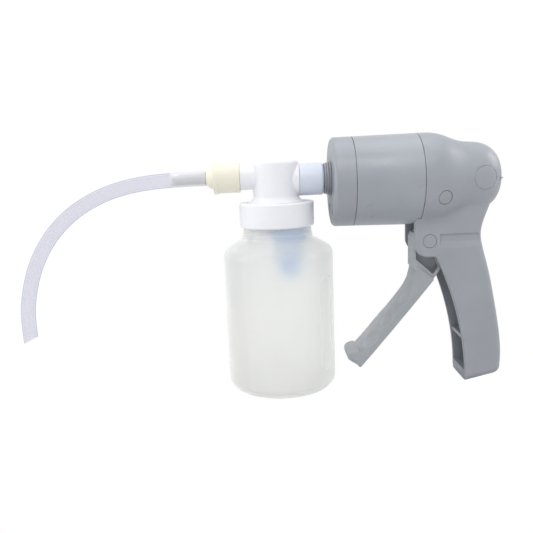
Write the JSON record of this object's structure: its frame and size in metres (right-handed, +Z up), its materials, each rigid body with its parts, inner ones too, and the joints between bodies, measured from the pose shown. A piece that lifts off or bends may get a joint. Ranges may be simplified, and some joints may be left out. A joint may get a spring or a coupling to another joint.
{
  "type": "suction pump",
  "caption": "Hand-held medical suction pump: trigger-driven piston pump with pistol handle, screw-on fluid canister with overflow float, and short curved catheter.",
  "frame": {"origin": "centre of the canister bottle's flat base, on the surface the pump stands on", "axes": "+X along the pump barrel towards the handle, +Z up, Y across the pump"},
  "size_m": [0.3208, 0.072, 0.164],
  "materials": {
    "housing_grey": "fine satin moulded",
    "barrel_grey": "smooth satin",
    "trigger_grey": "fine satin moulded",
    "pin_grey": "satin",
    "inner_plastic": "satin",
    "gear_plastic": "satin",
    "silicone": "soft matte",
    "black_rubber": "matte",
    "spring_steel": "drawn wire",
    "screw_steel": "plated",
    "sleeve_white": "soft satin",
    "lid_white": "smooth",
    "float_blue": "smooth",
    "float_ball_white": "smooth",
    "bottle_clear": "milky translucent",
    "adapter_cream": "satin",
    "nipple_clear": "frosted",
    "tube_clear": "clear soft vinyl"
  },
  "bodies": {
    "pump": {"pump_housing": "housing_grey", "side_plug": "housing_grey", "trigger_pin": "pin_grey", "pinion_pin": "pin_grey", "barrel": "barrel_grey", "front_cap": "housing_grey", "valve_plate": "inner_plastic", "inlet_valve": "silicone", "exhaust_valve": "silicone", "head_o_ring": "black_rubber", "rod_guide": "inner_plastic", "return_spring": "spring_steel"},
    "trigger": {"trigger": "trigger_grey"},
    "pinion": {"pinion_gear": "gear_plastic"},
    "piston": {"piston": "inner_plastic", "piston_seal": "black_rubber", "piston_rod": "inner_plastic", "piston_screw": "screw_steel"},
    "sleeve": {"outlet_sleeve": "sleeve_white"},
    "canister": {"canister_lid": "lid_white", "lid_gasket": "silicone", "float_cage": "float_blue", "valve_seat": "silicone"},
    "float": {"float_ball": "float_ball_white"},
    "collar": {"collar": "lid_white"},
    "bottle": {"bottle": "bottle_clear"},
    "catheter": {"catheter_adapter": "adapter_cream", "catheter_nipple": "nipple_clear", "catheter_tube": "tube_clear"}
  },
  "joints": [
    {"name": "trigger_squeeze", "type": "hinge", "parent": "pump", "child": "trigger", "pos_m": [0.0968, 0, 0.0958], "axis": [0, -1, 0], "range_deg": [0, 32], "stiffness_Nm_per_rad": 0.6, "springref_deg": -17.19},
    {"name": "pinion_turn", "type": "hinge", "parent": "pump", "child": "pinion", "pos_m": [0.10303, 0, 0.12412], "axis": [0, 1, 0], "range_deg": [-0.1, 123]},
    {"name": "piston_stroke", "type": "slide", "parent": "pump", "child": "piston", "axis": [1, 0, 0], "range_m": [0, 0.0184], "deforming": ["return_spring"]},
    {"name": "sleeve_pull", "type": "slide", "parent": "pump", "child": "sleeve", "axis": [-1, 0, 0], "range_m": [0, 0.012]},
    {"name": "canister_swivel", "type": "hinge", "parent": "sleeve", "child": "canister", "pos_m": [0.02, 0, 0.1374], "axis": [1, 0, 0], "continuous": true},
    {"name": "collar_turn", "type": "hinge", "parent": "canister", "child": "collar", "pos_m": [0, 0, 0.115], "axis": [0, 0, 1], "range_deg": [0, 541]},
    {"name": "bottle_drop", "type": "slide", "parent": "canister", "child": "bottle", "axis": [0, 0, -1], "range_m": [0, 0.006]},
    {"name": "float_lift", "type": "slide", "parent": "canister", "child": "float", "axis": [0, 0, 1], "range_m": [0, 0.0185]},
    {"name": "catheter_turn", "type": "hinge", "parent": "canister", "child": "catheter", "pos_m": [-0.03, 0, 0.1404], "axis": [1, 0, 0], "continuous": true}
  ],
  "couplings": [
    {"joint": "pinion_turn", "follows": "trigger_squeeze", "ratio": 3.8333},
    {"joint": "piston_stroke", "follows": "trigger_squeeze", "m_per_rad": 0.032583},
    {"joint": "collar_turn", "follows": "bottle_drop", "rad_per_m": 1570.8}
  ]
}
